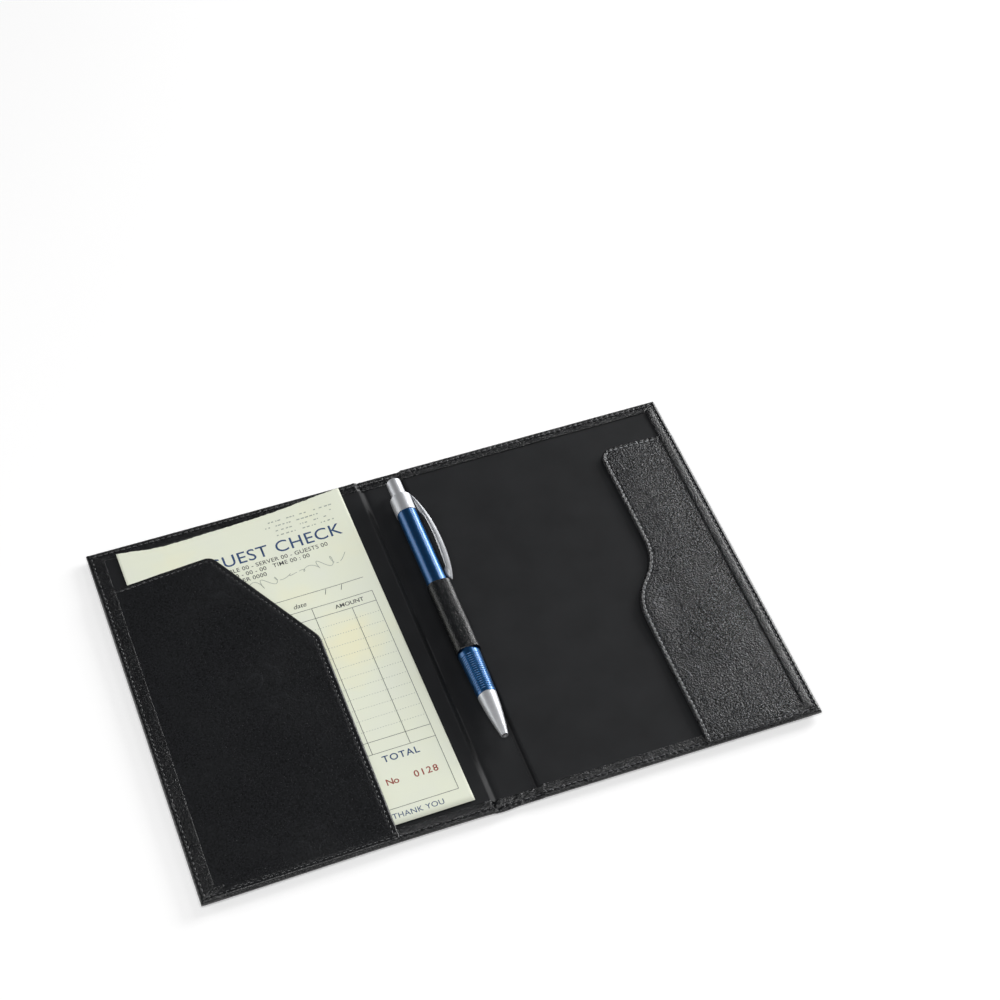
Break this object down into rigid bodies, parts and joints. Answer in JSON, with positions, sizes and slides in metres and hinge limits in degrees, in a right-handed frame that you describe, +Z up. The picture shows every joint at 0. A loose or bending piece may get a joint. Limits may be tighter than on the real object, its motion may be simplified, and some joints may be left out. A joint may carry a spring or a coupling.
{
  "type": "guest check presenter",
  "caption": "Folding restaurant check presenter: two padded leatherette covers on a flat spine, with a bill pocket, a card pocket and a click pen in a spine loop.",
  "frame": {"origin": "centre of the footprint of the open presenter, on the surface that it lies on", "axes": "+Z up, out of the inner faces; +Y along the spine towards the pen's button; +X across the covers towards the back cover with the card pocket"},
  "size_m": [0.26, 0.18, 0.0128],
  "materials": {
    "skin_leather": "black grained leatherette, semi-gloss",
    "padding_foam": "soft closed-cell foam",
    "grey_board": "grey binder's board",
    "liner_sheet": "smooth matt black leatherette lining",
    "bill_paper": "matt pale green-cream form paper",
    "satin_silver": "satin plated metal",
    "blue_anodised": "satin blue anodised",
    "mechanism_plastic": "white moulded plastic",
    "spring_steel": "drawn wire",
    "refill_plastic": "extruded plastic tube filled with ink",
    "point_brass": "turned"
  },
  "bodies": {
    "back_cover": {"back_cover_skin": "skin_leather", "back_cover_padding": "padding_foam", "back_cover_board": "grey_board", "back_cover_liner": "liner_sheet", "card_pocket": "skin_leather"},
    "spine": {"spine_skin": "skin_leather", "spine_filler": "grey_board", "spine_liner": "liner_sheet"},
    "front_cover": {"front_cover_skin": "skin_leather", "front_cover_padding": "padding_foam", "front_cover_board": "grey_board", "front_cover_liner": "liner_sheet", "bill_pocket": "skin_leather"},
    "bill": {"bill_slip": "bill_paper"},
    "pen_loop": {"pen_loop": "skin_leather"},
    "pen": {"nose_cone": "satin_silver", "lower_barrel": "blue_anodised", "upper_barrel": "blue_anodised", "click_sleeve": "mechanism_plastic", "refill_spring": "spring_steel"},
    "pen_cap": {"pen_cap": "satin_silver", "pen_clip": "satin_silver"},
    "push_button": {"push_button": "satin_silver", "click_plunger": "mechanism_plastic", "click_rotor": "mechanism_plastic", "refill_tube": "refill_plastic", "refill_point": "point_brass"}
  },
  "joints": [
    {"name": "spine_fold", "type": "hinge", "parent": "back_cover", "child": "spine", "pos_m": [0.00975, 0, 0.0007], "axis": [0, 1, 0], "range_deg": [0, 92]},
    {"name": "cover_fold", "type": "hinge", "parent": "spine", "child": "front_cover", "pos_m": [-0.00975, 0, 0.0007], "axis": [0, 1, 0], "range_deg": [0, 92]},
    {"name": "bill_slide", "type": "slide", "parent": "front_cover", "child": "bill", "axis": [0, 1, 0], "range_m": [0, 0.155]},
    {"name": "loop_shift", "type": "slide", "parent": "spine", "child": "pen_loop", "axis": [-1, 0, 0], "range_m": [0, 0.0038]},
    {"name": "pen_slide", "type": "slide", "parent": "pen_loop", "child": "pen", "axis": [0, 1, 0], "range_m": [0, 0.085]},
    {"name": "clip_roll", "type": "hinge", "parent": "pen", "child": "pen_cap", "pos_m": [0.0045, 0, 0.00742], "axis": [0, -1, 0], "range_deg": [0, 92]},
    {"name": "button_press", "type": "slide", "parent": "pen", "child": "push_button", "axis": [0, -1, 0], "range_m": [0, 0.0045], "stiffness_N_per_m": 250, "springref_m": -0.008, "deforming": ["refill_spring"]}
  ],
  "couplings": [
    {"joint": "loop_shift", "follows": "spine_fold", "m_per_rad": 0.002366},
    {"joint": "clip_roll", "follows": "spine_fold", "ratio": 1}
  ]
}
